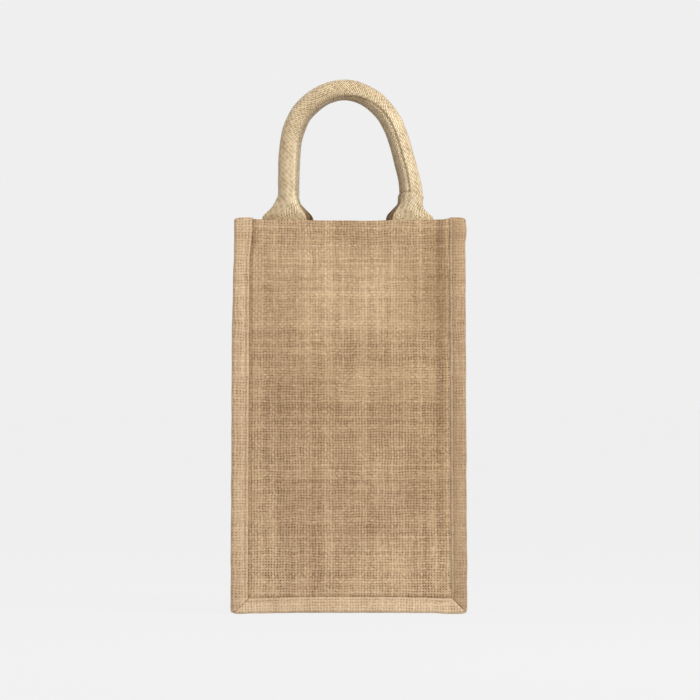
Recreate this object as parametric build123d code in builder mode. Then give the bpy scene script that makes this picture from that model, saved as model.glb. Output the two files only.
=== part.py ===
"""Two-bottle wine gift bag in jute cloth, with bound outside seams and two padded carrying handles.

Frame: +X to the right of someone facing the front panel, +Y from front to back, +Z up.
The origin is on the floor, in the middle of the bag. All sizes are in millimetres.

The bag is a front panel and a back panel joined by one gusset strip that runs down the left side,
across the base and up the right side. The strip's turned-out edges lie against the panels, and a
folded binding closes each of those two seams. The strip is split here at its fold lines, because
the base folds up and the sides gather when the bag is pressed flat. Each handle is one cotton tape
wrapped round a cord. It is split where it bends: two sewn tails and the padded loop.
"""

import os
from math import cos, radians, sin

from build123d import *

# Overall size
BAG_WIDTH = 208.0  # across the two bound side edges
BAG_HEIGHT = 350.0  # floor to rim
BAG_DEPTH = 100.0  # outer face of the front panel to outer face of the back panel

# Cloth and seams
CLOTH = 1.2  # thickness of one layer of jute
FLANGE = 14.0  # how far a bound seam stands out from the gusset
HEM = 27.0  # depth of the turned-in hem at the rim
HEM_SIDE_GAP = 1.5  # between a panel's hem and the gusset strip
BASE_GAP = 0.8  # around each base leaf, so that it turns freely

# Thread ridges
THREAD_WIDTH = 0.8
THREAD_HEIGHT = 0.4
BINDING_THREAD_INSET = 10.5  # from the binding's outer edge
HEM_THREAD_DROP = 24.5  # from the rim
STITCH_MARGIN = 7.0  # tape left outside a sewn box, both sides together

# Handles
TAPE = 2.0  # thickness of the cotton tape
TAPE_WIDTH = 43.0  # flat width at the rim
TAIL_LENGTH = 24.0  # sewn length below the rim
TAIL_RISE = 3.0  # bare length above the rim
LOOP_START = 4.8  # distances along the tape from the rim
TUBE_START = 20.0
TUBE_RADIUS = 8.5
CORD_RADIUS = 6.5
CORD_CLEARANCE = 0.1
LEAN = 5.0  # degrees that each handle leans over the mouth at rest
LOOP_BENDS = (  # across as a share of the feet's half spread, and along the tape from the rim
    (-1.0, 50.0),
    (-0.79, 94.5),
    (-0.08, 115.2),
    (0.56, 96.5),
    (0.88, 55.5),
)
FRONT_SPREAD = 55.0  # half the distance between the two feet
BACK_SPREAD = 53.5
HANDLE_THREAD_RADIUS = 0.45

# Layers through the front seam, from the outside in
FRONT = BAG_DEPTH / 2  # distance of the panel's outer face from the middle of the bag
PANEL_INNER = FRONT - CLOTH
ALLOWANCE_INNER = PANEL_INNER - CLOTH
BINDING_INNER = ALLOWANCE_INNER - CLOTH
TAIL_INNER = ALLOWANCE_INNER - TAPE
RIM_AXIS = PANEL_INNER  # the handle bends over the two layers of the rim
TAPE_OFFSET = RIM_AXIS - (ALLOWANCE_INNER + TAIL_INNER) / 2

# The gusset strip. Its fold lines are on its outer face in the middle and on its inner face at a seam.
GUSSET_OUTER = BAG_WIDTH / 2 - FLANGE
GUSSET_INNER = GUSSET_OUTER - CLOTH
BASE_BOTTOM = FLANGE - CLOTH
BASE_TOP = FLANGE
FOLD_REACH = ALLOWANCE_INNER  # from the middle fold to the fold at a seam
FOLD_ANGLE = 64.0  # degrees that each half turns when the bag is pressed flat
LEAF_REACH = FOLD_REACH - CLOTH - BASE_GAP
PLEAT_START = 3.5  # a base leaf folds up under the edge where the gusset's pleat begins
PLEAT_TOP = PLEAT_START + FOLD_REACH * sin(radians(FOLD_ANGLE))


def at_front(distance):
    """The upright plane at this distance in front of the middle, drawn in X and Z, facing the front."""
    return Plane.XZ.offset(distance)


def draw_u(inset, width):
    """A U along the sides and bottom of the face: inset from its outer edge, and width wide."""
    half, rise = BAG_WIDTH / 2 - inset, BAG_HEIGHT - inset
    with Locations((0, inset)):
        Rectangle(2 * half, rise, align=(Align.CENTER, Align.MIN))
    with Locations((0, inset + width)):
        Rectangle(
            2 * (half - width), rise - width, align=(Align.CENTER, Align.MIN), mode=Mode.SUBTRACT
        )


def tape_plane():
    """The middle plane of the front handle's tape: X across, Y along the tape from the rim."""
    lean = radians(LEAN)
    rim = Plane(
        origin=(0, -RIM_AXIS, BAG_HEIGHT), x_dir=(1, 0, 0), z_dir=(0, -cos(lean), sin(lean))
    )
    return rim.offset(-TAPE_OFFSET)


def across_tape(plane, across, along):
    """A plane square to the tape at one point on it, X still across."""
    return Plane(
        origin=plane.from_local_coords((across, along, 0)), x_dir=(1, 0, 0), z_dir=plane.y_dir
    )


def save(part, name):
    """Labels a finished piece and writes its STEP file."""
    part.label = name
    export_step(part, f"parts/{name}.step")


def loop_path(spread):
    """Centre line of a padded loop, from the top of its left flare to the top of its right one."""
    plane = tape_plane()
    bends = ((-1.0, TUBE_START), *LOOP_BENDS, (1.0, TUBE_START))
    with BuildLine() as path:
        Spline(
            *(plane.from_local_coords((share * spread, along, 0)) for share, along in bends),
            tangents=(plane.y_dir, -plane.y_dir),
        )
    return path.line


def webbing(spread):
    """The tape of one loop: a tube round the cord, flattening into a flare at each foot."""
    plane, path = tape_plane(), loop_path(spread)
    flare = (
        (LOOP_START, TAPE_WIDTH / 2 - 1.0, TAPE / 2),
        (9.5, 15.5, 3.6),
        (14.5, 11.3, 6.2),
        (TUBE_START, TUBE_RADIUS, TUBE_RADIUS),
    )
    with BuildPart() as tape:
        with BuildSketch(Plane(origin=path @ 0, x_dir=(1, 0, 0), z_dir=path % 0)):
            Circle(TUBE_RADIUS)
        sweep(path=path)
        with BuildSketch(Plane(origin=path @ 0, x_dir=(1, 0, 0), z_dir=path % 0)):
            Circle(CORD_RADIUS + CORD_CLEARANCE)
        sweep(path=path, mode=Mode.SUBTRACT)
        for foot in (-spread, spread):
            for along, half_width, half_thickness in flare:
                with BuildSketch(across_tape(plane, foot, along)):
                    Ellipse(half_width, half_thickness)
            loft()
    return tape.part


def swept_round(spread, radius, inward=0.0):
    """A round bar along a loop, offset towards the inside of the loop."""
    path = loop_path(spread)
    with BuildPart() as bar:
        with BuildSketch(Plane(origin=path @ 0, x_dir=(1, 0, 0), z_dir=path % 0)):
            with Locations((inward, 0)):
                Circle(radius)
        sweep(path=path)
    return bar.part


def mirrored(part):
    """The same piece on the back of the bag."""
    with BuildPart() as copy:
        mirror(part, about=Plane.XZ)
    return copy.part


def other_side(part):
    """The same piece on the other side of the bag."""
    with BuildPart() as copy:
        mirror(part, about=Plane.YZ)
    return copy.part


os.makedirs("parts", exist_ok=True)

# Panels: one cloth each, with the hem turned in at the rim
with BuildPart() as front_panel:
    with BuildSketch(at_front(PANEL_INNER)):
        with Locations((0, CLOTH)):
            Rectangle(
                BAG_WIDTH - 2 * CLOTH, BAG_HEIGHT - CLOTH, align=(Align.CENTER, Align.MIN)
            )
    extrude(amount=CLOTH)
    with BuildSketch(at_front(ALLOWANCE_INNER)):
        with Locations((0, BAG_HEIGHT)):
            Rectangle(2 * (GUSSET_INNER - HEM_SIDE_GAP), HEM, align=(Align.CENTER, Align.MAX))
    extrude(amount=CLOTH)
save(front_panel.part, "front_panel")
save(mirrored(front_panel.part), "back_panel")

# The gusset strip's turned-out edges, held between a panel and its binding
with BuildPart() as front_seam_allowance:
    with BuildSketch(at_front(ALLOWANCE_INNER)):
        draw_u(CLOTH, FLANGE - CLOTH)
    extrude(amount=CLOTH)
save(front_seam_allowance.part, "front_seam_allowance")
save(mirrored(front_seam_allowance.part), "back_seam_allowance")

# Binding: a strip folded round the seam's raw edges
with BuildPart() as front_binding:
    with BuildSketch(at_front(FRONT)):
        draw_u(0, FLANGE)
    extrude(amount=CLOTH)
    with BuildSketch(at_front(BINDING_INNER)):
        draw_u(0, FLANGE)
    extrude(amount=CLOTH)
    with BuildSketch(at_front(BINDING_INNER)):
        draw_u(0, CLOTH)
    extrude(amount=FRONT + CLOTH - BINDING_INNER)
save(front_binding.part, "front_binding")
save(mirrored(front_binding.part), "back_binding")

with BuildPart() as front_binding_thread:
    with BuildSketch(at_front(FRONT + CLOTH)):
        draw_u(BINDING_THREAD_INSET, THREAD_WIDTH)
    extrude(amount=THREAD_HEIGHT)
save(front_binding_thread.part, "front_binding_thread")
save(mirrored(front_binding_thread.part), "back_binding_thread")

with BuildPart() as front_hem_thread:
    with BuildSketch(at_front(FRONT)):
        with Locations((0, BAG_HEIGHT - HEM_THREAD_DROP)):
            Rectangle(2 * (GUSSET_OUTER - 1.0), THREAD_WIDTH)
    extrude(amount=THREAD_HEIGHT)
save(front_hem_thread.part, "front_hem_thread")
save(mirrored(front_hem_thread.part), "back_hem_thread")

# Gusset sides: each is folded along its upright middle line, and pleats at the foot
with BuildPart() as left_gusset_front:
    with BuildSketch(Plane.YZ.offset(-GUSSET_OUTER)):
        with BuildLine():
            Polyline(
                (0, BAG_HEIGHT),
                (-FOLD_REACH, BAG_HEIGHT),
                (-FOLD_REACH, BASE_TOP + PLEAT_START),
                (0, BASE_TOP + PLEAT_TOP),
                close=True,
            )
        make_face()
    extrude(amount=CLOTH)
save(left_gusset_front.part, "left_gusset_front")
save(mirrored(left_gusset_front.part), "left_gusset_rear")
save(other_side(left_gusset_front.part), "right_gusset_front")
save(other_side(mirrored(left_gusset_front.part)), "right_gusset_rear")

with BuildPart() as left_corner_pleat:
    with BuildSketch(Plane.YZ.offset(-GUSSET_OUTER)):
        with BuildLine():
            Polyline(
                (-FOLD_REACH, BASE_TOP),
                (FOLD_REACH, BASE_TOP),
                (FOLD_REACH, BASE_TOP + PLEAT_START),
                (0, BASE_TOP + PLEAT_TOP),
                (-FOLD_REACH, BASE_TOP + PLEAT_START),
                close=True,
            )
        make_face()
    extrude(amount=CLOTH)
save(left_corner_pleat.part, "left_corner_pleat")
save(other_side(left_corner_pleat.part), "right_corner_pleat")

# Base: one cloth that folds up along its middle, so it is two leaves
with BuildPart() as base_front_leaf:
    with BuildSketch(Plane.XY.offset(BASE_BOTTOM)):
        with Locations((0, -BASE_GAP / 2)):
            Rectangle(
                2 * (GUSSET_INNER - BASE_GAP),
                LEAF_REACH - BASE_GAP / 2,
                align=(Align.CENTER, Align.MAX),
            )
    extrude(amount=CLOTH)
save(base_front_leaf.part, "base_front_leaf")
save(mirrored(base_front_leaf.part), "base_rear_leaf")

# Handle tails, sewn flat inside the hem with a boxed cross of thread
def tails(spread):
    """The two flat ends of the front handle's tape."""
    with BuildPart() as tape:
        with BuildSketch(at_front(TAIL_INNER)):
            with Locations((-spread, BAG_HEIGHT + TAIL_RISE), (spread, BAG_HEIGHT + TAIL_RISE)):
                Rectangle(
                    TAPE_WIDTH, TAIL_LENGTH + TAIL_RISE, align=(Align.CENTER, Align.MAX)
                )
        extrude(amount=TAPE)
    return tape.part


def tail_threads(spread):
    """A sewn box with two diagonals on each tail, on the face that looks into the bag."""
    box_width, box_height = TAPE_WIDTH - STITCH_MARGIN, TAIL_LENGTH - STITCH_MARGIN
    half_width, half_height = (box_width - THREAD_WIDTH) / 2, (box_height - THREAD_WIDTH) / 2
    middle = BAG_HEIGHT - TAIL_LENGTH / 2
    with BuildPart() as thread:
        with BuildSketch(at_front(TAIL_INNER - THREAD_HEIGHT)):
            with Locations((-spread, middle), (spread, middle)):
                Rectangle(box_width, box_height)
                Rectangle(
                    box_width - 2 * THREAD_WIDTH, box_height - 2 * THREAD_WIDTH, mode=Mode.SUBTRACT
                )
            for foot in (-spread, spread):
                for turn in (-1, 1):
                    with BuildLine():
                        Line(
                            (foot - half_width, middle - turn * half_height),
                            (foot + half_width, middle + turn * half_height),
                        )
                    trace(line_width=THREAD_WIDTH)
        extrude(amount=THREAD_HEIGHT)
    return thread.part


SEAM_THREAD_OFFSET = TUBE_RADIUS + HANDLE_THREAD_RADIUS + CORD_CLEARANCE
front_pieces = {
    "handle_tails": tails(FRONT_SPREAD),
    "tail_thread": tail_threads(FRONT_SPREAD),
    "handle_webbing": webbing(FRONT_SPREAD),
    "handle_cord": swept_round(FRONT_SPREAD, CORD_RADIUS),
    "handle_thread": swept_round(FRONT_SPREAD, HANDLE_THREAD_RADIUS, SEAM_THREAD_OFFSET),
}
back_pieces = {
    "handle_tails": tails(BACK_SPREAD),
    "tail_thread": tail_threads(BACK_SPREAD),
    "handle_webbing": webbing(BACK_SPREAD),
    "handle_cord": swept_round(BACK_SPREAD, CORD_RADIUS),
    "handle_thread": swept_round(BACK_SPREAD, HANDLE_THREAD_RADIUS, SEAM_THREAD_OFFSET),
}
for name, piece in front_pieces.items():
    save(piece, f"front_{name}")
for name, piece in back_pieces.items():
    save(mirrored(piece), f"back_{name}")
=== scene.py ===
"""Looks for the two-bottle jute wine gift bag.

Lengths in the shape code are millimetres and turn into metres where a mesh is made. UV maps are in
millimetres too, along and across the cloth, so every weave keeps its real thread count. The front
of the bag faces -Y, and each back piece is the mirror of the front one.
"""

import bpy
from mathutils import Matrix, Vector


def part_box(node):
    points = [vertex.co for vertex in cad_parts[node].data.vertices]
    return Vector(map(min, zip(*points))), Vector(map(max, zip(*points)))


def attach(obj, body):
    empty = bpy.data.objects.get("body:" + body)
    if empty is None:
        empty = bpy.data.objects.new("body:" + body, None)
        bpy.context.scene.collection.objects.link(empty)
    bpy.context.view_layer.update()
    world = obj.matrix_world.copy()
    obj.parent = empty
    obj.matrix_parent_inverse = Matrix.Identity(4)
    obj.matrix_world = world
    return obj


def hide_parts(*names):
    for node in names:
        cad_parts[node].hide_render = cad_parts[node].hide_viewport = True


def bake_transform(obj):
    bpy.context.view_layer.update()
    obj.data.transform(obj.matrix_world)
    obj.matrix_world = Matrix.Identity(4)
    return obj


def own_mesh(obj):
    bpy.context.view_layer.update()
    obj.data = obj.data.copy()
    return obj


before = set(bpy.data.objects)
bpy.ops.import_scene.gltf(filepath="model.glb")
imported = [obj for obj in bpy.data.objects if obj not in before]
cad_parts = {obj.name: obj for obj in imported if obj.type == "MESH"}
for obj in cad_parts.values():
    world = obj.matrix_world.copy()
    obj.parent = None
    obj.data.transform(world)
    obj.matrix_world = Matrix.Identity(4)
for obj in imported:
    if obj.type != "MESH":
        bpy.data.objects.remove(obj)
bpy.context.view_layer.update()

import math

import bmesh
import bpy
import numpy as np
from mathutils import Vector, noise

MM = 0.001
SHADE_WARMTH = (0.95, 1.15, 1.40)  # painted shade takes the least from red and the most from blue


def node_box(node):
    """A CAD node's box at rest, in millimetres."""
    low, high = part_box(node)
    return Vector(low) / MM, Vector(high) / MM


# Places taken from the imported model
BINDING_LOW, BINDING_HIGH = node_box("front_binding")
PANEL_LOW, PANEL_HIGH = node_box("front_panel")
GUSSET_LOW, GUSSET_HIGH = node_box("left_gusset_front")
PLEAT_LOW, PLEAT_HIGH = node_box("left_corner_pleat")
LEAF_LOW, LEAF_HIGH = node_box("base_front_leaf")
TAIL_LOW, TAIL_HIGH = node_box("front_handle_tails")
HALF_WIDTH = BINDING_HIGH.x
HEIGHT = BINDING_HIGH.z
PANEL_FACE = -PANEL_LOW.y  # distance of the panel's outer face from the middle of the bag
BINDING_FACE = -BINDING_LOW.y
BINDING_BACK = -BINDING_HIGH.y
GUSSET_OUTER = -GUSSET_LOW.x
GUSSET_INNER = -GUSSET_HIGH.x
SEAM_FOLD = PLEAT_HIGH.y  # distance of the gusset's seam folds from the middle of the bag
GUSSET_EDGE = SEAM_FOLD - 0.7  # the gusset cloth ends just short of the panels
FLANGE = HALF_WIDTH - GUSSET_OUTER  # how far a bound seam stands out
PLEAT_TOP = PLEAT_HIGH.z
PLEAT_START = GUSSET_LOW.z
CLOTH = 1.1  # thickness of one layer of jute
HEM_LINE = HEIGHT - 24.5  # lower edge of the turned-in rim
DRAW_IN = 0.018  # share of the width lost between foot and rim
BINDING_STITCH_INSET = 10.9
STITCH_PITCH = 2.6
BLEND_HALF = 5.0  # how far the span across a fold line reaches each side of it; the span is worked out but nothing is bent
FORWARD = Vector((0, -1, 0))
BACKWARD = Vector((0, 1, 0))


# ---------------------------------------------------------------- small helpers


def smooth(t):
    """An eased step from 0 to 1 as t goes from 0 to 1."""
    t = min(max(t, 0.0), 1.0)
    return t * t * (3 - 2 * t)


def bell(distance, width):
    """1 at no distance, fading out smoothly over the width."""
    return math.exp(-((distance / width) ** 2))


def ripple(x, y, z=0.0):
    """Smooth noise in the range -1 to 1."""
    return noise.noise(Vector((x, y, z)))


def srgb(*levels):
    """A colour given as 0-255 display levels."""
    out = []
    for level in levels:
        c = level / 255
        out.append(c / 12.92 if c <= 0.04045 else ((c + 0.055) / 1.055) ** 2.4)
    return (*out, 1.0)


def make_object(name, points, faces, uvs, material, body=None, darkness=None):
    """A mesh object from points in millimetres, with one UV per corner of each face.

    darkness is an optional share of colour lost at each point to painted shade, or gained as
    painted light where it is negative.
    """
    mesh = bpy.data.meshes.new(name)
    mesh.from_pydata([Vector(p) * MM for p in points], [], faces)
    layer = mesh.uv_layers.new(name="cloth")
    layer.data.foreach_set("uv", [c for face in uvs for corner in face for c in corner])
    # the darkness attribute carries painted shade and painted light
    if darkness:
        mesh.attributes.new("darkness", "FLOAT", "POINT").data.foreach_set("value", darkness)
    turned = bmesh.new()
    turned.from_mesh(mesh)
    bmesh.ops.recalc_face_normals(turned, faces=turned.faces)
    turned.to_mesh(mesh)
    turned.free()
    mesh.shade_smooth()
    mesh.materials.append(material)
    mesh.validate()
    obj = bpy.data.objects.new(name, mesh)
    bpy.context.scene.collection.objects.link(obj)
    if body:
        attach(obj, body)
    return obj


def side_mesh(side, mesh):
    """A front mesh as it is, or mirrored for the back."""
    if side == "front":
        return mesh
    points, faces, uvs = mesh
    return [(x, -y, z) for x, y, z in points], faces, uvs


def add_piece(name, mesh, material, slot, nodes, body=None, darkness=None):
    """A piece of the model that stands in for the CAD nodes named."""
    obj = make_object(name, *mesh, material, body, darkness)
    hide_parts(*nodes)
    return obj


def add_side_piece(side, name, mesh, material, slot, node, body="wall", darkness=None):
    """One side's copy of a piece whose mesh is made for the front."""
    mesh, nodes = side_mesh(side, mesh), [f"{side}_{node}"]
    body = body and f"{side}_{body}"
    return add_piece(f"{side}_{name}", mesh, material, slot, nodes, body, darkness)


def add_pair(*piece, **extras):
    """The front and the back copy of a piece, on their own walls."""
    for side in ("front", "back"):
        add_side_piece(side, *piece, **extras)


def sheet(columns, rows, place, normal, thickness, uv):
    """A closed layer of cloth. place(u, v) gives its middle surface for u and v from 0 to 1."""
    points, flat = [], []
    for side in (0.5, -0.5):
        for j in range(rows + 1):
            for i in range(columns + 1):
                u, v = i / columns, j / rows
                points.append(tuple(place(u, v) + normal * thickness * side))
                if side > 0:
                    flat.append(uv(u, v))
    wide = columns + 1
    layer = wide * (rows + 1)
    faces, uvs = [], []

    def add(*corners):
        faces.append(corners)
        uvs.append(tuple(flat[c % layer] for c in corners))

    for j in range(rows):
        for i in range(columns):
            a = j * wide + i
            add(a, a + 1, a + 1 + wide, a + wide)
            b = a + layer
            add(b, b + wide, b + 1 + wide, b + 1)
    for i in range(columns):
        low, top = i, rows * wide + i
        add(low + 1, low, low + layer, low + 1 + layer)
        add(top, top + 1, top + 1 + layer, top + layer)
    for j in range(rows):
        left, right = j * wide, j * wide + columns
        add(left, left + wide, left + wide + layer, left + layer)
        add(right + wide, right, right + layer, right + wide + layer)
    return points, faces, uvs


def stitches(places, across=0.42, rise=0.32):
    """Small thread capsules. Each place is (start, end, outward) in millimetres."""
    points, faces, uvs = [], [], []
    ring = 6
    for start, end, outward in places:
        start, end, outward = Vector(start), Vector(end), Vector(outward)
        along = (end - start).normalized()
        side = along.cross(outward)
        first = len(points)
        for t, width in ((0.0, 0.35), (0.14, 0.85), (0.5, 1.0), (0.86, 0.85), (1.0, 0.35)):
            lift = math.sin(math.pi * t) * 0.25
            centre = start.lerp(end, t) + outward * (lift - 0.05)
            for k in range(ring):
                a = 2 * math.pi * k / ring
                spot = side * math.cos(a) * across * width + outward * math.sin(a) * rise * width
                points.append(tuple(centre + spot))
        for r in range(4):
            for k in range(ring):
                a, b = first + r * ring + k, first + r * ring + (k + 1) % ring
                faces.append((a, b, b + ring, a + ring))
                uvs.append(((k / 2, r), (k / 2 + 0.5, r), (k / 2 + 0.5, r + 1), (k / 2, r + 1)))
        faces.append(tuple(first + k for k in reversed(range(ring))))
        uvs.append(((0.0, 0.0),) * ring)
        faces.append(tuple(first + 4 * ring + k for k in range(ring)))
        uvs.append(((0.0, 4.0),) * ring)
    return points, faces, uvs


def stitch_row(start, end, outward, pitch=STITCH_PITCH, fill=0.62):
    """Evenly spaced stitches along a straight line."""
    start, end = Vector(start), Vector(end)
    count = max(1, round((end - start).length / pitch))
    row = []
    for k in range(count):
        a = start.lerp(end, (k + (1 - fill) / 2) / count)
        b = start.lerp(end, (k + (1 + fill) / 2) / count)
        row.append((a, b, outward))
    return row


# ---------------------------------------------------------------- materials


class Shader:
    """A material's node tree, written as sums."""

    def __init__(self, name):
        self.material = bpy.data.materials.new(name)
        self.material.use_nodes = True
        self.tree = self.material.node_tree
        self.surface = self.tree.nodes["Principled BSDF"]

    def node(self, kind, **inputs):
        made = self.tree.nodes.new(kind)
        for key, value in inputs.items():
            self.feed(made.inputs[key.replace("_", " ")], value)
        return made

    def feed(self, socket, value):
        if isinstance(value, bpy.types.NodeSocket):
            self.tree.links.new(value, socket)
        else:
            socket.default_value = value

    def math(self, operation, *values):
        made = self.tree.nodes.new("ShaderNodeMath")
        made.operation = operation
        for socket, value in zip(made.inputs, values):
            self.feed(socket, value)
        return made.outputs[0]

    def add(self, a, b):
        return self.math("ADD", a, b)

    def sub(self, a, b):
        return self.math("SUBTRACT", a, b)

    def mul(self, a, b):
        return self.math("MULTIPLY", a, b)

    def uv(self):
        split = self.node("ShaderNodeSeparateXYZ", Vector=self.node("ShaderNodeUVMap").outputs[0])
        return split.outputs[0], split.outputs[1]

    def vector(self, x, y, z=0.0):
        return self.node("ShaderNodeCombineXYZ", X=x, Y=y, Z=z).outputs[0]

    def noise(self, vector, scale=1.0, detail=2.0):
        made = self.node("ShaderNodeTexNoise", Vector=vector, Scale=scale, Detail=detail)
        return made.outputs[0]

    def random(self, vector):
        made = self.node("ShaderNodeTexWhiteNoise", Vector=vector)
        return made.outputs[0]

    def spread(self, value, low, high, new_low, new_high):
        made = self.node("ShaderNodeMapRange", Value=value)
        for socket, number in zip(list(made.inputs)[1:5], (low, high, new_low, new_high)):
            self.feed(socket, number)
        return made.outputs[0]

    def mix(self, factor, a, b):
        made = self.tree.nodes.new("ShaderNodeMix")
        made.data_type = "RGBA"
        self.feed(made.inputs["Factor"], factor)
        self.feed(made.inputs["A"], a)
        self.feed(made.inputs["B"], b)
        return made.outputs["Result"]

    def tint(self, colour, brightness):
        made = self.tree.nodes.new("ShaderNodeVectorMath")
        made.operation = "SCALE"
        self.feed(made.inputs[0], colour[:3])
        self.feed(made.inputs["Scale"], brightness)
        return made.outputs[0]

    def finish(self, colour, height, depth, roughness=0.92, sheen=0.15, strength=1.0):
        # painted shade from the darkness attribute, and painted light where it is negative
        shade = self.tree.nodes.new("ShaderNodeAttribute")
        shade.attribute_name = "darkness"
        left = self.sub(1.0, shade.outputs["Fac"])
        kept = [self.math("POWER", left, warmth) for warmth in SHADE_WARMTH]
        shaded = self.tree.nodes.new("ShaderNodeVectorMath")
        shaded.operation = "MULTIPLY"
        self.feed(shaded.inputs[0], colour)
        self.feed(shaded.inputs[1], self.vector(*kept))
        self.feed(self.surface.inputs["Base Color"], shaded.outputs[0])
        self.feed(self.surface.inputs["Roughness"], roughness)
        self.feed(self.surface.inputs["Specular IOR Level"], 0.18)
        self.feed(self.surface.inputs["Sheen Weight"], sheen)
        bump = self.node("ShaderNodeBump", Height=height, Strength=strength, Distance=depth * MM)
        self.feed(self.surface.inputs["Normal"], bump.outputs[0])
        return self.material


def woven(name, light, dark, warp_pitch=2.58, weft_pitch=2.36, seed=0.0, contrast=1.0, gap_shade_by_height=True):
    """Coarse plain weave: round yarns of uneven thickness and colour, passing over and under."""
    s = Shader(name)
    u, v = s.uv()
    drift_u = s.mul(s.sub(s.noise(s.vector(s.mul(u, 0.03), s.mul(v, 0.06), seed)), 0.5), 3.0)
    drift_v = s.mul(s.sub(s.noise(s.vector(s.mul(u, 0.06), s.mul(v, 0.03), seed + 5)), 0.5), 3.0)
    across = s.math("DIVIDE", s.add(u, drift_u), warp_pitch)
    along = s.math("DIVIDE", s.add(v, drift_v), weft_pitch)
    iu, iv = s.math("FLOOR", across), s.math("FLOOR", along)
    fu = s.sub(s.sub(across, iu), 0.5)
    fv = s.sub(s.sub(along, iv), 0.5)
    parity = s.math("FLOORED_MODULO", s.add(iu, iv), 2.0)
    over = s.sub(1.0, s.mul(parity, 2.0))

    def yarn(index, lengthwise, sideways, crossing, side, key):
        """Height, and brightness, of one set of yarns."""
        tone = s.random(s.vector(index, key, seed))
        slub = s.noise(
            s.vector(s.mul(lengthwise, 0.11), s.mul(index, 7.3), key + seed), detail=1.0
        )
        wander = s.noise(s.vector(s.mul(lengthwise, 0.16), s.mul(index, 3.1), key), detail=1.0)
        centred = s.add(sideways, s.mul(s.sub(wander, 0.5), 0.22))
        radius = s.add(s.spread(tone, 0.0, 1.0, 0.40, 0.48), s.mul(s.sub(slub, 0.5), 0.22))
        ratio = s.math("DIVIDE", centred, radius)
        round_part = s.math("SQRT", s.math("MAXIMUM", s.sub(1.0, s.mul(ratio, ratio)), 0.0))
        wave = s.mul(s.mul(s.math("COSINE", s.mul(crossing, math.pi)), 0.24), side)
        inside = s.math("GREATER_THAN", round_part, 0.0)
        height = s.add(s.mul(round_part, 0.75), s.mul(wave, inside))
        fibres = s.noise(
            s.vector(s.mul(lengthwise, 0.5), s.mul(centred, 7.0), s.add(index, key)), detail=3.0
        )
        bright = s.add(s.mul(s.sub(tone, 0.5), 0.27), s.mul(s.sub(fibres, 0.5), 0.75))
        bright = s.add(bright, s.mul(s.sub(slub, 0.5), 0.48))
        return height, bright, round_part

    warp_height, warp_bright, warp_round = yarn(iu, v, fu, fv, over, 11.0)
    weft_height, weft_bright, weft_round = yarn(iv, u, fv, fu, s.mul(over, -1.0), 23.0)
    top = s.math("MAXIMUM", warp_height, weft_height)
    is_warp = s.math("GREATER_THAN", warp_height, weft_height)
    bright = s.add(s.mul(is_warp, warp_bright), s.mul(s.sub(1.0, is_warp), weft_bright))
    patches = s.noise(s.vector(s.mul(u, 0.022), s.mul(v, 0.016), seed + 9), detail=2.0)
    stripes_up = s.noise(s.vector(s.mul(u, 0.13), s.mul(v, 0.008), seed + 2), detail=1.0)
    stripes_over = s.noise(s.vector(s.mul(u, 0.008), s.mul(v, 0.13), seed + 3), detail=1.0)
    covered = s.math("MAXIMUM", warp_round, weft_round)
    openness = s.noise(s.vector(s.mul(u, 0.045), s.mul(v, 0.038), seed + 14), detail=4.0)
    openness = s.spread(openness, 0.35, 0.65, 0.6, 1.3)
    if gap_shade_by_height:  # the painted shade in the weave's gaps fades towards the rim, and comes back on the doubled hem
        openness = s.mul(openness, s.spread(v, 170, 270, 1.25, 0.55))
        openness = s.add(openness, s.spread(v, 318, 328, 0.0, 0.35))
    uneven = s.noise(s.vector(s.mul(u, 0.42), s.mul(v, 0.42), seed + 17), detail=1.0)
    openness = s.mul(openness, s.spread(uneven, 0.30, 0.70, 0.45, 1.55))
    gap_u, gap_v = s.math("ROUND", across), s.math("ROUND", along)
    single = s.random(s.vector(gap_u, gap_v, seed + 40))
    openness = s.mul(openness, s.spread(single, 0.0, 1.0, 0.25, 1.65))
    # painted shade in the gaps between the yarns, where the dark inside of the bag would show
    # through
    gap = s.mul(s.spread(covered, 0.15, 0.92, 1.0, 0.0), openness)

    def parted(position, line, lengthwise, key):
        """Shade where two neighbouring yarns have drawn apart for a few centimetres."""
        apart = s.noise(s.vector(s.mul(line, 5.1), s.mul(lengthwise, 0.05), seed + key), detail=1.0)
        near = s.spread(s.math("ABSOLUTE", s.sub(position, line)), 0.05, 0.34, 1.0, 0.0)
        return s.mul(near, s.spread(apart, 0.42, 0.75, 0.0, 1.0))

    lines = s.add(parted(across, gap_u, v, 51.0), parted(along, gap_v, u, 57.0))
    level = s.add(0.62, s.mul(bright, contrast))
    level = s.sub(level, s.mul(gap, 0.88 * contrast))
    level = s.sub(level, s.mul(lines, 0.17 * contrast))
    level = s.add(level, s.mul(s.sub(patches, 0.5), 0.45))
    level = s.add(level, s.mul(s.sub(stripes_up, 0.5), 0.22))
    level = s.add(level, s.mul(s.sub(stripes_over, 0.5), 0.10))
    final = s.mix(level, dark, light)
    fuzz = s.noise(s.vector(u, v, seed), scale=2.2, detail=4.0)
    height = s.add(top, s.mul(fuzz, 0.45))
    return s.finish(final, height, 0.5, roughness=0.95, sheen=0.2, strength=0.7)


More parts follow.
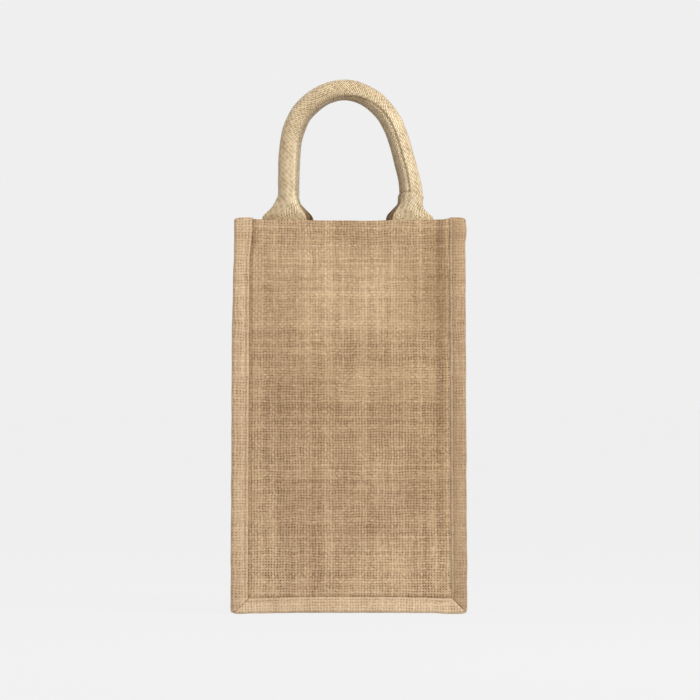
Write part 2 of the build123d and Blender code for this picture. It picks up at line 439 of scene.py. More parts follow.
def twill(name, light, dark, rib=2.2, band=13.0, pick=2.4):
    """Cotton tape in a herringbone weave: diagonal ribs that turn back at each band."""
    s = Shader(name)
    u, v = s.uv()
    wobble = s.mul(s.sub(s.noise(s.vector(s.mul(u, 0.12), s.mul(v, 0.12), 3.0)), 0.5), 1.6)
    zigzag = s.math("PINGPONG", s.add(u, wobble), band)
    diagonal = s.math("DIVIDE", s.add(s.mul(zigzag, 0.95), s.add(v, wobble)), rib)
    index = s.math("FLOOR", diagonal)
    f = s.sub(s.sub(diagonal, index), 0.5)
    ridge = s.math("SQRT", s.math("MAXIMUM", s.sub(1.0, s.mul(s.mul(f, f), 3.9)), 0.0))
    offset = s.mul(s.math("FLOORED_MODULO", index, 2.0), 0.5)
    picks = s.math("COSINE", s.mul(s.add(s.math("DIVIDE", u, pick), offset), 2 * math.pi))
    tone = s.random(s.vector(index, s.math("FLOOR", s.add(s.math("DIVIDE", u, pick), offset)), 4.0))
    fibres = s.noise(s.vector(u, v, 1.0), scale=1.3, detail=4.0)
    stains = s.noise(s.vector(s.mul(u, 0.06), s.mul(v, 0.05), 6.0), detail=2.0)
    level = s.add(0.66, s.mul(s.sub(tone, 0.5), 0.35))
    level = s.add(level, s.mul(s.sub(fibres, 0.5), 0.8))
    level = s.add(level, s.mul(s.sub(stains, 0.5), 0.35))
    # painted shade in the hollows between the ribs and picks, and painted highlight on their crests
    level = s.add(level, s.spread(ridge, 0.1, 1.0, -0.75, 0.22))
    level = s.add(level, s.mul(picks, 0.20))
    height = s.add(s.add(ridge, s.mul(picks, 0.22)), s.mul(fibres, 0.5))
    return s.finish(s.mix(level, dark, light), height, 0.55, roughness=0.9, sheen=0.3, strength=0.9)


def twisted(name, colour):
    """Sewing thread or cord: fine ribs that wind round it."""
    s = Shader(name)
    u, v = s.uv()
    turns = s.math("SINE", s.mul(s.add(u, s.mul(v, 1.6)), 5.0))
    fibres = s.noise(s.vector(u, v, 2.0), scale=3.0, detail=3.0)
    # painted shade in the grooves of the twist and painted highlight on its ribs
    level = s.add(0.92, s.add(s.mul(turns, 0.07), s.mul(s.sub(fibres, 0.5), 0.25)))
    return s.finish(s.tint(colour, level), turns, 0.1, roughness=0.75, sheen=0.2, strength=0.5)


JUTE = woven("jute_cloth", srgb(217, 188, 151), srgb(116, 84, 52))
JUTE_BINDING = woven(
    "jute_binding",
    srgb(231, 205, 171),
    srgb(150, 117, 82),
    warp_pitch=2.5,
    weft_pitch=2.5,
    seed=31.0,
    contrast=0.8,
    gap_shade_by_height=False,
)
WEBBING = twill("cotton_webbing", srgb(241, 220, 182), srgb(124, 93, 50))
CORD = twisted("cotton_cord", srgb(225, 214, 190))
THREAD = twisted("thread", srgb(194, 165, 130))
HEM_THREAD = twisted("hem_thread", srgb(212, 186, 150))
SEAM_THREAD = twisted("handle_seam_thread", srgb(172, 143, 100))


# ---------------------------------------------------------------- panels


def drawn_in(x, z):
    """The bag is a little narrower at its rim than at its foot."""
    return x * (1 - DRAW_IN * z / HEIGHT)


def rim_sag(x, z):
    """The rim dips between the stiff bound corners."""
    dip = 2.0 * (1 - (x / HALF_WIDTH) ** 2) + 0.5 * ripple(x / 30, 1.0)
    return -dip * smooth((z - 290) / 60)


def panel_swell(x, z):
    """How far the front panel stands out between its seams, in millimetres."""
    side = 1 - smooth((abs(x) - 38) / (GUSSET_OUTER - 38))
    rise = smooth((z - FLANGE) / 130) * (1 - 0.8 * smooth((z - 170) / (HEM_LINE - 170)))
    swell = 7.0 * side * rise
    swell += 1.1 * ripple(x / 24, z / 95, 2.0) * side
    swell += 0.5 * ripple(x / 11, z / 30, 7.0) * side
    valley = bell(abs(x) - GUSSET_OUTER + 2.0, 2.0) * smooth((z - FLANGE) / 12)
    fold = bell(x - 78, 7) * smooth((z - 120) / 110)
    return swell - 0.5 * valley - 1.1 * fold


# Soft patches of painted shade on the front panel, painted light where the shade is negative:
# shade, centre across and up, half width and half height
PANEL_SPOTS = (
    (-0.07, 30, 125, 28, 32),
    (0.13, 86, 280, 4, 38),
    (0.09, 79, 332, 7, 8),
    (0.07, 60, 288, 20, 30),
    (0.04, -72, 285, 16, 40),
    (0.06, -62, 215, 26, 50),
)


def spot(x, z, centre_x, centre_z, wide, high):
    """A soft round patch: 1 at its centre, fading out with its half width and half height."""
    return math.exp(-(((x - centre_x) / wide) ** 2) - ((z - centre_z) / high) ** 2)


def panel_darkness(x, z):
    """Painted shade in the panel's soft folds, beside its bindings and under its hem, and painted
    light where the sum is negative.
    """
    top = HEM_LINE
    upper = smooth((z - 215) / 60) * (1 - smooth((z - top) / 6))
    amount = 0.085 + 0.05 * ripple(x / 15, z / 120, 31.0) + 0.03 * ripple(x / 40, z / 25, 35.0)
    # painted light where the cloth stands out most and towards the foot, painted shade across the
    # middle height
    amount -= 0.10 * bell(x + 14, 60) * upper
    amount -= 0.08 * (1 - smooth((z - 30) / 90))
    amount += 0.04 * bell(z - 190, 45)
    # painted shade in the hollows at the sides and in soft patches, painted light along the left
    # side
    amount += 0.22 * bell(x - 80, 8) * smooth((z - 60) / 160)
    amount += sum(shade * spot(x, z, *place) for shade, *place in PANEL_SPOTS)
    amount -= 0.02 * smooth((-x - 60) / 15)
    # painted shadow lines where the panel goes under its bindings, and a painted light line beside
    # the right binding
    amount += (0.18 + 0.14 * smooth((z - 220) / 60)) * bell(x + 88.5, 1.3)
    amount += 0.20 * bell(x + 86, 4) * smooth((z - 318) / 10)
    amount -= 0.30 * bell(x - 88.8, 1.1)
    amount += 0.20 * bell(z - FLANGE - 0.8, 1.2)
    # the doubled hem: a painted shadow line under its step, darker just above it and paler higher
    # up
    amount += 0.07 * bell(z - top + 1.8, 1.2)
    amount += 0.04 * smooth((z - top) / 2) * (1 - smooth((z - top - 4) / 9))
    amount -= 0.06 * smooth((z - top - 8) / 8)
    return amount


def hem_step(z):
    """The doubled cloth of the hem: a low step at its lower edge, pulled in by the stitches."""
    top = HEM_LINE
    pull = bell(z - top, 1.3)
    return 0.7 * smooth((z - top + 1.5) / 3) - 0.45 * pull


def panel_place(u, v):
    """The front panel, from its foot up to the rim."""
    half = PANEL_HIGH.x
    x = -half + 2 * half * u
    z = PANEL_LOW.z + (HEIGHT - PANEL_LOW.z) * v
    inside = 1 - smooth((abs(x) - 86) / 4)
    y = -(PANEL_FACE - CLOTH / 2) - panel_swell(x, z) - hem_step(z) * inside
    return Vector((drawn_in(x, z), y, z + rim_sag(x, z)))


def panel_uv(u, v):
    return (2 * PANEL_HIGH.x * u, HEIGHT * v)


panel_mesh = sheet(150, 240, panel_place, FORWARD, CLOTH, panel_uv)


def hem_place(u, v):
    """The turned-in layer behind the rim."""
    half = GUSSET_INNER - 1.5
    x = -half + 2 * half * u
    z = HEIGHT - 27 + 27 * v
    across = (x + PANEL_HIGH.x) / (2 * PANEL_HIGH.x)
    place = panel_place(across, (z - PANEL_LOW.z) / (HEIGHT - PANEL_LOW.z))
    return Vector((place.x, place.y + CLOTH + 0.1, place.z))


hem_mesh = sheet(90, 16, hem_place, FORWARD, CLOTH, lambda u, v: (180 * u, 27 * v))


def joined(*meshes):
    """Several meshes as one piece."""
    points, faces, uvs = [], [], []
    for more_points, more_faces, more_uvs in meshes:
        first = len(points)
        points += more_points
        faces += [tuple(first + i for i in face) for face in more_faces]
        uvs += more_uvs
    return points, faces, uvs


panel_and_hem = joined(panel_mesh, hem_mesh)
panel_shade = [panel_darkness(x / (1 - DRAW_IN * z / HEIGHT), z) for x, _, z in panel_and_hem[0]]
add_pair("panel_cloth", panel_and_hem, JUTE, "jute_cloth", "panel", darkness=panel_shade)


# ---------------------------------------------------------------- bindings


BINDING_FOLD = 2.4  # how far in the rounded outer fold reaches
BINDING_INSETS = (14.0, 13.4, 12.5, 11.5, 10.9, 10.3, 9.0, 7.0, 5.0, 3.5, BINDING_FOLD)
BINDING_MIDDLE = (BINDING_FACE + BINDING_BACK) / 2


def binding_profile():
    """The folded strip's outline: (inset from the outer edge, distance from the middle, run)."""
    radius = (BINDING_FACE - BINDING_BACK) / 2
    outline = [(inset, BINDING_FACE) for inset in BINDING_INSETS]
    for k in range(1, 8):
        a = math.pi * k / 8
        inset = BINDING_FOLD - BINDING_FOLD * math.sin(a)
        outline.append((inset, BINDING_MIDDLE + radius * math.cos(a)))
    outline += [(inset, BINDING_BACK) for inset in reversed(BINDING_INSETS)]
    run, runs = 0.0, []
    for k, (inset, depth) in enumerate(outline):
        if k:
            run += math.dist((inset, depth), outline[k - 1])
        runs.append(run)
    outer = [(inset, depth, r) for (inset, depth), r in zip(outline, runs)]
    inner = []
    for inset, depth, r in outer:
        out = max(min((BINDING_FOLD - inset) / BINDING_FOLD, 1.0), 0.0)
        level = (depth - BINDING_MIDDLE) / radius
        inner.append((inset + CLOTH * out, BINDING_MIDDLE + (radius - CLOTH) * level, r))
    return outer + inner[::-1]


def binding_point(leg, t, inset, depth):
    """One point of the strip, and its darkness: painted shade there, or painted light where it is
    negative.

    t runs along a leg, from left to right or from foot to rim.
    """
    if leg == "bottom":
        start, end = -HALF_WIDTH + inset, HALF_WIDTH - inset
        x, z = start + (end - start) * t, inset
        left_end, right_end = x - start, end - x
        lap = 0.9 * (1 - smooth((right_end - 1) / 14)) - 0.2 * (1 - smooth(left_end / 6))
        corner = min(left_end, right_end)
        # painted shadow along the left mitre fold, painted highlight along the right one
        dark = 0.30 * bell(left_end, 1.1) - 0.14 * bell(right_end, 1.5)
        # painted shade on the outer fold, and the bottom leg painted a little lighter all along
        dark += 0.25 * bell(inset, 0.9) - 0.05
    else:
        sign = -1 if leg == "left" else 1
        x = sign * (HALF_WIDTH - inset)
        z = inset + (HEIGHT + 0.8 - inset) * t
        lap = (0.9 if leg == "left" else -0.2) * (1 - smooth((z - inset - 1) / 14))
        corner = z - inset
        # painted shade on the outer fold
        dark = 0.10 * bell(inset, 0.8)
        if leg == "right":
            # the right leg painted darker all over, more towards its inner edge, with a painted
            # shadow beside its mitre
            dark += 0.21 + 0.09 * inset / FLANGE + 0.35 * bell(corner, 1.5)
        else:
            # painted shade on the left leg, deepest at its outer fold
            dark += 0.11 - 0.10 * inset / FLANGE
        z -= 2.4 * math.exp(-inset / 1.6) * smooth((z - HEIGHT + 6) / 6)
        if leg == "left":
            x += 2.6 * smooth((z - 312) / 30) * (inset / 14)
        else:
            x += 1.3 * bell(z - 338, 7) * (1 - inset / 14)
    # a painted shadow line along the inner edge of the left and bottom legs and painted light along
    # the right leg's, with painted shade in the dent of the stitch row
    edge_shade = -0.15 if leg == "right" else 0.25
    dark += edge_shade * smooth((inset - 13.2) / 0.6) + 0.10 * bell(inset - 10.9, 0.7)
    outer = 1 - smooth(inset / 6)
    wave = 0.45 * ripple(x / 16, z / 16, 4.0) * outer
    rounding = 1.3 * outer * math.exp(-corner / 2.0)
    front = 1 if depth > BINDING_MIDDLE else -1
    puff = math.sin(math.pi * min(inset / BINDING_STITCH_INSET, 1.0)) * 0.5
    dent = 0.45 * bell(inset - BINDING_STITCH_INSET, 0.9)
    level = (puff - dent + lap * smooth(inset / 3) + 0.3 * ripple(x / 9, z / 9, 1.0)) * front
    if leg == "left":
        x -= 1.5 * outer * (1 - smooth((z - 250) / 90))
    if leg == "bottom":
        z += wave + rounding + 1.4 * (1 - (x / HALF_WIDTH) ** 2) * smooth(corner / 30)
        x += rounding * (1 if t < 0.5 else -1)
    else:
        x += (wave + rounding) * (1 if leg == "left" else -1)
        z += rounding
    return (drawn_in(x, z), -(depth + level), z), dark


def binding_mesh():
    """The strip's three legs, meeting in a folded mitre at each bottom corner."""
    profile = binding_profile()
    size = len(profile)
    up = [(k / 100) ** 1.6 for k in range(101)]
    steps = [("left", t) for t in reversed(up)]
    steps += [("bottom", 0.5 - 0.5 * math.cos(math.pi * k / 80)) for k in range(81)]
    steps += [("right", t) for t in up]
    points, faces, uvs, darkness = [], [], [], []
    for leg, t in steps:
        for inset, depth, _ in profile:
            point, dark = binding_point(leg, t, inset, depth)
            points.append(point)
            darkness.append(dark)

    def corner_uv(c, leg):
        x, _, z = points[c]
        return (profile[c % size][2], x + 400 if leg == "bottom" else z)

    for r in range(len(steps) - 1):
        leg = steps[r + 1][0]
        for k in range(size):
            a, b = r * size + k, r * size + (k + 1) % size
            corners = (a, b, b + size, a + size)
            faces.append(corners)
            uvs.append(tuple(corner_uv(c, leg) for c in corners))
    last = (len(steps) - 1) * size
    for cap in (tuple(reversed(range(size))), tuple(last + k for k in range(size))):
        faces.append(cap)
        uvs.append(tuple(corner_uv(c, "left") for c in cap))
    return (points, faces, uvs), darkness


strip, strip_shade = binding_mesh()
add_pair(
    "binding_strip", strip, JUTE_BINDING, "jute_binding", "binding", darkness=strip_shade
)


def binding_stitches():
    """The row that holds the strip, seen on both of its faces."""
    rows = []
    line = HALF_WIDTH - BINDING_STITCH_INSET
    foot, top = BINDING_STITCH_INSET, HEIGHT - 1
    for outward, depth in ((FORWARD, BINDING_FACE + 0.02), (BACKWARD, BINDING_BACK - 0.02)):
        y = -depth
        corners = [(-line, y, top), (-line, y, foot), (line, y, foot), (line, y, top)]
        for start, end in zip(corners, corners[1:]):
            for a, b, out in stitch_row(start, end, outward):
                a, b = (Vector((drawn_in(p.x, p.z), p.y, p.z)) for p in (a, b))
                rows.append((a, b, out))
    return stitches(rows, across=0.38, rise=0.3)


def hem_stitches():
    """The row along the lower edge of the hem. It follows the panel's swell."""
    rows = []
    ends = Vector((-GUSSET_OUTER + 1, 0, HEM_LINE)), Vector((GUSSET_OUTER - 1, 0, HEM_LINE))
    for start, end, outward in stitch_row(*ends, FORWARD, pitch=3.0):
        middle_x = (start.x + end.x) / 2
        y = -PANEL_FACE - panel_swell(middle_x, HEM_LINE) - hem_step(HEM_LINE) + 0.1
        z = HEM_LINE + rim_sag(middle_x, HEM_LINE)
        rows.append(((drawn_in(start.x, z), y, z), (drawn_in(end.x, z), y, z), outward))
    return stitches(rows, across=0.4, rise=0.32)


add_pair("binding_stitches", binding_stitches(), THREAD, "thread", "binding_thread")
add_pair("hem_stitches", hem_stitches(), HEM_THREAD, "thread", "hem_thread")


def allowance_mesh():
    """The gusset's turned-out edge, under the binding on three sides of the panel."""
    low, high = node_box("front_seam_allowance")
    depth = (low.y + high.y) / 2
    outer = BINDING_FOLD
    top = HEIGHT - 0.3

    def upright(sign):
        """The leg of the edge up one side of the bag."""

        def place(u, v):
            z = outer + (top - outer) * v
            edge = drawn_in(HALF_WIDTH - outer, z)
            return Vector((sign * (edge + (GUSSET_OUTER - edge) * u), depth, z))

        return sheet(8, 60, place, FORWARD, CLOTH, lambda u, v: (12 * u, 350 * v))

    def foot(u, v):
        return Vector((GUSSET_OUTER * (2 * u - 1), depth, outer + (FLANGE - outer) * v))

    across = sheet(60, 8, foot, FORWARD, CLOTH, lambda u, v: (180 * u, 12 * v))
    return joined(upright(-1), across, upright(1))


add_pair("seam_cloth", allowance_mesh(), JUTE, "jute_cloth", "seam_allowance")


# ---------------------------------------------------------------- gusset strip


def gusset_bottom(y):
    """Height of the pleat's fold line."""
    return PLEAT_TOP - (PLEAT_TOP - PLEAT_START) * abs(y) / SEAM_FOLD


def gusset_across(y, z):
    """Distance of the gusset side from the middle of the bag. It bows in between its seams."""
    middle = (GUSSET_OUTER + GUSSET_INNER) / 2
    bow = 1 - smooth(abs(y) / SEAM_FOLD)
    loose = 1 - (y / SEAM_FOLD) ** 4
    height = smooth((z - 40) / 70)
    soft = 0.5 * ripple(y / 16, z / 40, 12.0) + middle - drawn_in(middle, z)
    return middle - height * (3.2 * bow + soft * loose)


def gusset_place(sign, above):
    """The side above the pleat's fold line, or the pleat below it."""

    def place(u, v):
        y = GUSSET_EDGE * (2 * u - 1)
        fold = gusset_bottom(y)
        low, high = (fold, HEIGHT) if above else (PLEAT_LOW.z, fold)
        z = low + (high - low) * v
        return Vector((sign * gusset_across(y, z), y, z))

    return place


def flat_uv(place):
    """Cloth coordinates straight from a side's own depth and height."""

    def uv(u, v):
        p = place(u, v)
        return (p.y + 300, p.z)

    return uv


def blend_across_fold(obj, rear, front, x, z):
    """Bake a piece's placement into its mesh. The two ends of the span across y = 0, where its rear
    body meets its front one, are worked out but nothing is bent there.
    """
    start, end = ((x * MM, y * MM, z * MM) for y in (BLEND_HALF, -BLEND_HALF))
    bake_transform(obj)
    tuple(start)
    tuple(end)


for sign, side in ((-1, "left"), (1, "right")):
    outward = Vector((sign, 0, 0))
    halves = f"{side}_gusset_rear", f"{side}_gusset_front"
    place = gusset_place(sign, True)
    mesh = sheet(64, 170, place, outward, CLOTH, flat_uv(place))
    gusset = add_piece(f"{side}_gusset_cloth", mesh, JUTE, "jute_cloth", halves)
    blend_across_fold(gusset, *halves, x=sign * GUSSET_OUTER, z=200.0)
    place = gusset_place(sign, False)
    mesh = sheet(64, 24, place, outward, CLOTH, flat_uv(place))
    nodes = [f"{side}_corner_pleat"]
    pleat = add_piece(f"{side}_pleat_cloth", mesh, JUTE, "jute_cloth", nodes, "back_wall")
    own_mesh(pleat)


def base_place(u, v):
    """The base, lying a little uneven between its four edges."""
    x = (LEAF_HIGH.x - 1.0) * (2 * u - 1)
    y = LEAF_LOW.y - 2 * LEAF_LOW.y * v
    edge = (1 - (x / LEAF_HIGH.x) ** 6) * (1 - (y / LEAF_LOW.y) ** 6)
    z = (LEAF_LOW.z + LEAF_HIGH.z) / 2 + (0.9 * ripple(x / 35, y / 35, 20.0) - 0.4) * edge
    return Vector((x, y, z))


mesh = sheet(110, 56, base_place, Vector((0, 0, 1)), CLOTH, lambda u, v: (180 * u, 92 * v - 400))
base = add_piece("base_cloth", mesh, JUTE, "jute_cloth", ("base_rear_leaf", "base_front_leaf"))
blend_across_fold(base, "base_rear", "base_front", x=0, z=LEAF_LOW.z)


# ---------------------------------------------------------------- handles

LEAN = math.radians(5.0)
RIM_AXIS = PANEL_FACE - 1.2  # the tape bends over the rim's two layers
TAPE_OFFSET = RIM_AXIS - (-TAIL_LOW.y + -TAIL_HIGH.y) / 2
FOOT_DROP = 2.5  # how far a loop's feet reach below the rim
FOOT_STEPS = 30
TUBE_START = 20.0  # where the tape is rolled round the cord, along it from the rim
TUBE_RADIUS = 8.5
TAPE_HALF = 21.3
TAPE_THICKNESS = 1.9
LOOP_BENDS = (  # across as a share of the feet's half spread, and along the tape from the rim
    (-1.0, TUBE_START),
    (-1.0, 50.0),
    (-0.79, 94.5),
    (-0.08, 115.2),
    (0.56, 96.5),
    (0.88, 55.5),
    (1.0, TUBE_START),
)


def spline_through(knots, start_slope, end_slope, samples):
    """A smooth curve through the knots, with fixed directions at its ends."""
    knots = np.array(knots, float)
    t = np.concatenate([[0], np.cumsum(np.linalg.norm(np.diff(knots, axis=0), axis=1))])
    n = len(knots)
    matrix, right = np.zeros((n, n)), np.zeros((n, 2))
    matrix[0, 0] = matrix[-1, -1] = 1
    right[0], right[-1] = start_slope, end_slope
    for i in range(1, n - 1):
        a, b = t[i] - t[i - 1], t[i + 1] - t[i]
        matrix[i, i - 1 : i + 2] = b, 2 * (a + b), a
        right[i] = 3 * (b / a * (knots[i] - knots[i - 1]) + a / b * (knots[i + 1] - knots[i]))
    slopes = np.linalg.solve(matrix, right)
    curve = []
    for s in np.linspace(0, t[-1], samples):
        i = min(int(np.searchsorted(t, s, side="right")) - 1, n - 2)
        h = t[i + 1] - t[i]
        f = (s - t[i]) / h
        curve.append(
            (2 * f**3 - 3 * f**2 + 1) * knots[i]
            + (f**3 - 2 * f**2 + f) * h * slopes[i]
            + (3 * f**2 - 2 * f**3) * knots[i + 1]
            + (f**3 - f**2) * h * slopes[i + 1]
        )
    return np.array(curve)


def from_tape(across, along, lift):
    """A point given on the leaning tape: lift is towards the front."""
    y = -RIM_AXIS + along * math.sin(LEAN) - (lift - TAPE_OFFSET) * math.cos(LEAN)
    z = HEIGHT + along * math.cos(LEAN) + (lift - TAPE_OFFSET) * math.sin(LEAN)
    return (across, y, z)


def runs_and_tangents(line):
    """The distance along a line, and its direction, at each of its points."""
    runs = np.concatenate([[0], np.cumsum(np.linalg.norm(np.diff(line, axis=0), axis=1))])
    tangents = np.gradient(line, axis=0)
    tangents /= np.linalg.norm(tangents, axis=1)[:, None]
    return runs, tangents


def loop_line(spread):
    """The whole centre line of a loop on the tape plane, feet included."""
    knots = [(share * spread, along) for share, along in LOOP_BENDS]
    arch = spline_through(knots, (0, 1), (0, -1), 181)
    foot = np.linspace(-FOOT_DROP, TUBE_START, FOOT_STEPS + 1)[:-1]
    left = np.stack([np.full(len(foot), -spread), foot], axis=1)
    right = np.stack([np.full(len(foot), spread), foot[::-1]], axis=1)
    return np.concatenate([left, arch, right])


# Half widths of the tape, outside and inside each leg, at distances along the tape from the rim
FLARE_UP = (1.5, 4.8, 9.5, 14.5, 20.0, 26.0, 42.0)
LEFT_FLARE = ((22.6, 19.6, 14.7, 11.6, 9.2, 8.6, 8.7), (16.8, 15.1, 11.6, 8.9, 7.4, 7.4, 8.0))
RIGHT_FLARE = ((19.0, 14.8, 10.2, 8.9, 9.9, 9.9, 8.9), (17.2, 16.0, 12.6, 9.4, 8.9, 8.2, 7.9))
FLARE_THICKNESS = (1.0, 1.4, 3.2, 5.6, 7.8, 8.6, 8.6)
AROUND = 120


def seam_angle(share, start, end):
    """How far round the cord the seam lies: it turns to the front over the top of the loop."""
    return math.radians(start + (end - start) * smooth((share - 0.38) / 0.30))


def webbing_section(along, run, share, turn, key):
    """The tape's outline at one place, as (across, lift, darkness) steps round it. Darkness is
    painted shade, or painted light where it is negative.
    """
    flat = 1 - smooth((along - 3.0) / 17.0)
    right = share > 0.5
    outside, inside = RIGHT_FLARE if right else LEFT_FLARE
    outside_here = np.interp(along, FLARE_UP, outside)
    inside_here = np.interp(along, FLARE_UP, inside)
    thick_here = np.interp(along, FLARE_UP, FLARE_THICKNESS)
    # painted shade inside the arch and down the right leg's inner side, painted light on the left
    # leg's inner side
    inner_shade = 0.36 * smooth((share - 0.22) / 0.2) - 0.14
    # painted shade on the left leg's outer side
    outer_shade = 0.15 * (1 - smooth((share - 0.22) / 0.1))
    # uneven strength along the tape for the painted shade in the seam's groove
    groove_unevenness = max(ripple(run / 2.2, key, 5.0), 0.0)
    # painted shade over the top of the loop and up the left leg
    top_shade = 0.16 * smooth((share - 0.2) / 0.12) * (1 - smooth((share - 0.55) / 0.12))
    top_shade += 0.06 * (1 - smooth((share - 0.2) / 0.12)) * smooth((along - 18) / 10)
    # painted shadow on the feet just above the rim, deeper on the left foot
    foot_shade = 0.06 if right else 0.20
    outline = []
    for k in range(AROUND):
        a = 2 * math.pi * k / AROUND
        since_seam = ((a - turn) / (2 * math.pi)) % 1.0
        groove = bell(since_seam - 0.975, 0.018)
        lap = 0.7 * (1 - smooth(since_seam / 0.14)) - 0.5 * groove
        c, d = math.cos(a), math.sin(a)
        soft = 0.4 * ripple(c * 1.3 + key, d * 1.3, run / 14)
        ring = -0.3 + (lap + soft) * (1 - 0.7 * flat)
        crease = 0.0
        if right:
            from_crease = along - 20.5 - 1.5 * c - 1.5 * d
            ring += 1.0 * (1 - smooth(from_crease / 1.6)) * (1 - flat)
            crease = bell(from_crease - 1.2, 1.0) * smooth((c + 0.9) / 0.6)
        lip = bell(math.remainder(a, 2 * math.pi) + 0.42, 0.24) * flat
        pleat = 1.1 * flat * (1 - flat) * 4 * math.cos(a * 5 + key) * abs(d)
        power = 1 - 0.35 * flat
        wide = (inside_here if c > 0 else outside_here) + ring
        across = wide * math.copysign(abs(c) ** power, c) + 4.4 * lip
        lift = (thick_here + ring * (1 - flat)) * math.copysign(abs(d) ** power, d) + pleat
        dark = inner_shade * smooth((c - 0.52) / 0.24) * (1 - 0.6 * flat) + top_shade
        dark += outer_shade * smooth((0.1 - c) / 0.6)
        # painted shade on the rear layer of each foot, towards the inside of the loop
        dark += 0.72 * smooth((0.02 - d) / 0.10) * smooth(c / 0.3) * flat ** 0.5
        # painted shade in the seam's groove and in the crease at the right foot
        dark += (0.12 + 0.60 * groove_unevenness) * groove * (1 - flat) + 0.40 * crease
        # painted highlight along the ridge of the seam's lap
        dark -= 0.07 * bell(since_seam - 0.05, 0.035) * (1 - flat)
        dark += foot_shade * (1 - smooth((along - 1.5) / 5))
        outline.append((across, lift, min(dark, 0.76)))
    return outline


def webbing_mesh(spread, key):
    """The tape from one foot to the other: flat at the rim, and rolled round the cord above it."""
    line = loop_line(spread)
    count = len(line)
    runs, tangents = runs_and_tangents(line)
    points, faces, uvs, girths, darkness = [], [], [], [], []
    for k in range(count):
        side = (tangents[k][1], -tangents[k][0])  # towards the inside of the loop
        distance = min(runs[k], runs[-1] - runs[k]) - FOOT_DROP
        share = runs[k] / runs[-1]
        section = webbing_section(distance, runs[k], share, seam_angle(share, 12, 82), key)
        girth = [0.0]
        for a, b in zip(section, section[1:] + section[:1]):
            girth.append(girth[-1] + math.dist(a[:2], b[:2]))
        girths.append([g - girth[-1] / 2 for g in girth])
        for across, lift, dark in section:
            x, along = line[k][0] + side[0] * across, line[k][1] + side[1] * across
            points.append(from_tape(x, along, lift))
            darkness.append(dark)
    for k in range(count - 1):
        for j in range(AROUND):
            a, b = k * AROUND + j, k * AROUND + (j + 1) % AROUND
            faces.append((a, b, b + AROUND, a + AROUND))
            low, high = girths[k], girths[k + 1]
            uvs.append(
                (
                    (low[j] + 200, runs[k]),
                    (low[j + 1] + 200, runs[k]),
                    (high[j + 1] + 200, runs[k + 1]),
                    (high[j] + 200, runs[k + 1]),
                )
            )
    last = (count - 1) * AROUND
    for cap in (tuple(reversed(range(AROUND))), tuple(last + j for j in range(AROUND))):
        faces.append(cap)
        uvs.append(tuple((0.5 * (c % AROUND), 0.0) for c in cap))
    return (points, faces, uvs), darkness


def seam_stitches(spread):
    """A row of stitches along the inside of the padded part."""
    line = loop_line(spread)[FOOT_STEPS:-FOOT_STEPS]
    runs, tangents = runs_and_tangents(line)
    rows = []
    pitch, length = 3.4, 2.1
    for k in range(int(runs[-1] / pitch)):
        ends = []
        for s in (k * pitch + 0.6, k * pitch + 0.6 + length):
            at = [np.interp(s, runs, line[:, 0]), np.interp(s, runs, line[:, 1])]
            direction = [np.interp(s, runs, tangents[:, 0]), np.interp(s, runs, tangents[:, 1])]
            side = (direction[1], -direction[0])
            angle = seam_angle(s / runs[-1], 30, 78)
            reach = (TUBE_RADIUS - 0.15) * math.cos(angle)
            lift = (TUBE_RADIUS - 0.15) * math.sin(angle)
            ends.append(Vector(from_tape(at[0] + side[0] * reach, at[1] + side[1] * reach, lift)))
            centre = Vector(from_tape(at[0], at[1], 0))
        outward = (ends[-1] - centre).normalized()
        rows.append((ends[0], ends[1], outward))
    return stitches(rows, across=0.4, rise=0.3)


def tail_uv(u, v):
    return (43 * u, 22 * v)


def tail_mesh(spread):
    """The sewn ends of the tape."""
    meshes = []
    for foot in (-spread, spread):

        def place(u, v):
            z = TAIL_LOW.z + (HEIGHT - 2.0 - TAIL_LOW.z) * v
            x = foot + TAPE_HALF * (2 * u - 1)
            y = (TAIL_LOW.y + TAIL_HIGH.y) / 2 + 0.15 * ripple(x / 6, z / 6, 3)
            return Vector((x, y, z))

        meshes.append(sheet(30, 28, place, FORWARD, TAPE_THICKNESS, tail_uv))
    return joined(*meshes)


def tail_stitches(spread):
    """A box of stitches with a cross in it, on each sewn end."""
    rows = []
    y = TAIL_HIGH.y + 0.05
    inset = 3.9
    half = 17.6
    low, high = TAIL_LOW.z + inset, HEIGHT - inset
    for foot in (-spread, spread):
        a, b = foot - half, foot + half
        ring = [(a, y, low), (b, y, low), (b, y, high), (a, y, high), (a, y, low)]
        for start, end in zip(ring, ring[1:]):
            rows += stitch_row(start, end, BACKWARD)
        rows += stitch_row((a, y, low), (b, y, high), BACKWARD)
        rows += stitch_row((a, y, high), (b, y, low), BACKWARD)
    return stitches(rows)


# Half the distance between a loop's feet, and a key that makes its soft folds its own
LOOPS = (("front", 55.0, 0.0), ("back", 52.8, 9.0))
TAPE_BEND = (2.0, 16.0)  # the stretch of tape, up from the rim, where it would bend as the handle swings; its ends are worked out below but nothing is bent

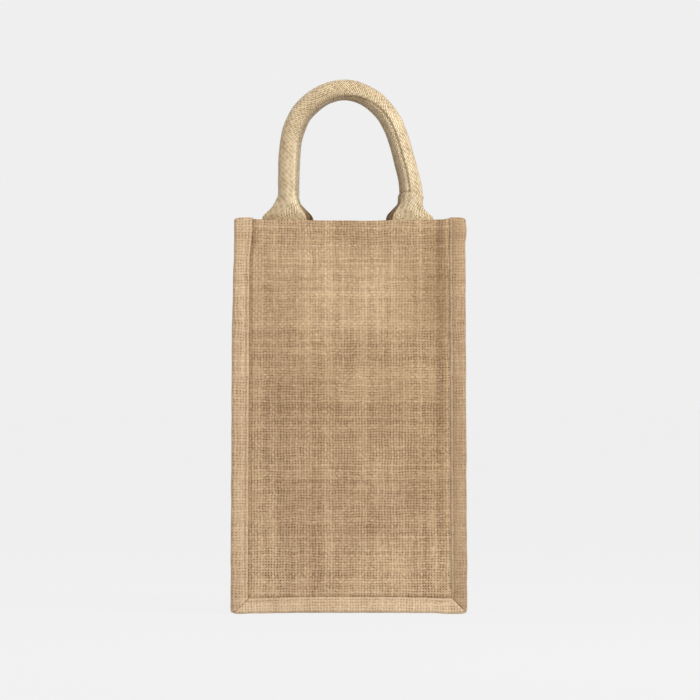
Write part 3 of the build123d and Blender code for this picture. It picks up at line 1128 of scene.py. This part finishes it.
for side, spread, key in LOOPS:
    facing = -1 if side == "front" else 1
    mesh, shade = webbing_mesh(spread, key)
    piece = "handle_loop", mesh, WEBBING, "cotton_webbing", "handle_webbing"
    loop = add_side_piece(side, *piece, body=None, darkness=shade)
    up = Vector((0, -facing * math.sin(LEAN), math.cos(LEAN)))
    rim = Vector((0, facing * RIM_AXIS * MM, HEIGHT * MM))
    start, end = (tuple(rim + up * reach * MM) for reach in TAPE_BEND)
    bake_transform(loop)
    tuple(start)
    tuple(end)
    piece = "handle_seam", seam_stitches(spread), SEAM_THREAD, "thread", "handle_thread"
    add_side_piece(side, *piece, body="handle")
    piece = "handle_ends", tail_mesh(spread), WEBBING, "cotton_webbing", "handle_tails"
    add_side_piece(side, *piece)
    piece = "tail_stitches", tail_stitches(spread), THREAD, "thread", "tail_thread"
    add_side_piece(side, *piece)
    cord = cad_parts[f"{side}_handle_cord"]
    cord.data.materials.clear()
    cord.data.materials.append(CORD)


# ---------------------------------------------------------------- studio


BACKDROP = srgb(239, 239, 239)
FLOOR_GLOW = 0.975  # the floor shines by itself up to the backdrop's grey
WORLD_STRENGTH = 0.55
LIGHTS = (  # name, place in metres, size and power
    ("key", (1.3, -1.6, 1.45), 1.1, 36.0),
    ("fill", (-1.9, -2.4, 0.7), 2.4, 10.0),
    ("top", (0.0, -0.6, 2.6), 1.6, 14.0),
)
LIGHT_TARGET = Vector((0, 0, 0.22))
CAMERA_PLACE = (0.0002, -7.0, 0.2335)
CAMERA_VIEW_WIDTH = 0.6234  # width of the picture at the bag's middle, in metres


def studio():
    """Pale floor, backdrop of the same grey, soft lights and a long-lens camera in front."""
    floor = bpy.data.materials.new("studio_floor")
    floor.use_nodes = True
    surface = floor.node_tree.nodes["Principled BSDF"]
    surface.inputs["Base Color"].default_value = srgb(55, 55, 55)
    surface.inputs["Roughness"].default_value = 1.0
    surface.inputs["Specular IOR Level"].default_value = 0.0
    surface.inputs["Emission Color"].default_value = BACKDROP
    surface.inputs["Emission Strength"].default_value = FLOOR_GLOW
    points = [(-25000, -25000, 0), (25000, -25000, 0), (25000, 25000, 0), (-25000, 25000, 0)]
    corner_uvs = [((0, 0), (1, 0), (1, 1), (0, 1))]
    ground = make_object("studio_floor", points, [(0, 1, 2, 3)], corner_uvs, floor)
    for name, place, size, power in LIGHTS:
        data = bpy.data.lights.new(name, "AREA")
        data.shape = "DISK"
        data.size = size
        data.energy = power
        lamp = bpy.data.objects.new(name, data)
        lamp.location = place
        lamp.rotation_euler = (LIGHT_TARGET - Vector(place)).to_track_quat("-Z", "Y").to_euler()
        bpy.context.scene.collection.objects.link(lamp)
    world = bpy.data.worlds.new("studio")
    world.use_nodes = True
    background = world.node_tree.nodes["Background"]
    background.inputs["Color"].default_value = BACKDROP
    path = world.node_tree.nodes.new("ShaderNodeLightPath")
    seen = world.node_tree.nodes.new("ShaderNodeMapRange")
    seen.inputs["To Min"].default_value = WORLD_STRENGTH  # the camera sees it at full strength
    world.node_tree.links.new(path.outputs["Is Camera Ray"], seen.inputs["Value"])
    world.node_tree.links.new(seen.outputs[0], background.inputs["Strength"])
    bpy.context.scene.world = world
    data = bpy.data.cameras.new("camera")
    data.sensor_width = 36.0
    data.lens = data.sensor_width * -CAMERA_PLACE[1] / CAMERA_VIEW_WIDTH
    data.clip_end = 100.0
    camera = bpy.data.objects.new("camera", data)
    camera.location = CAMERA_PLACE
    camera.rotation_euler = (math.pi / 2, 0, 0)
    bpy.context.scene.collection.objects.link(camera)
    bpy.context.scene.camera = camera
    bpy.context.scene.view_settings.view_transform = "Standard"


studio()
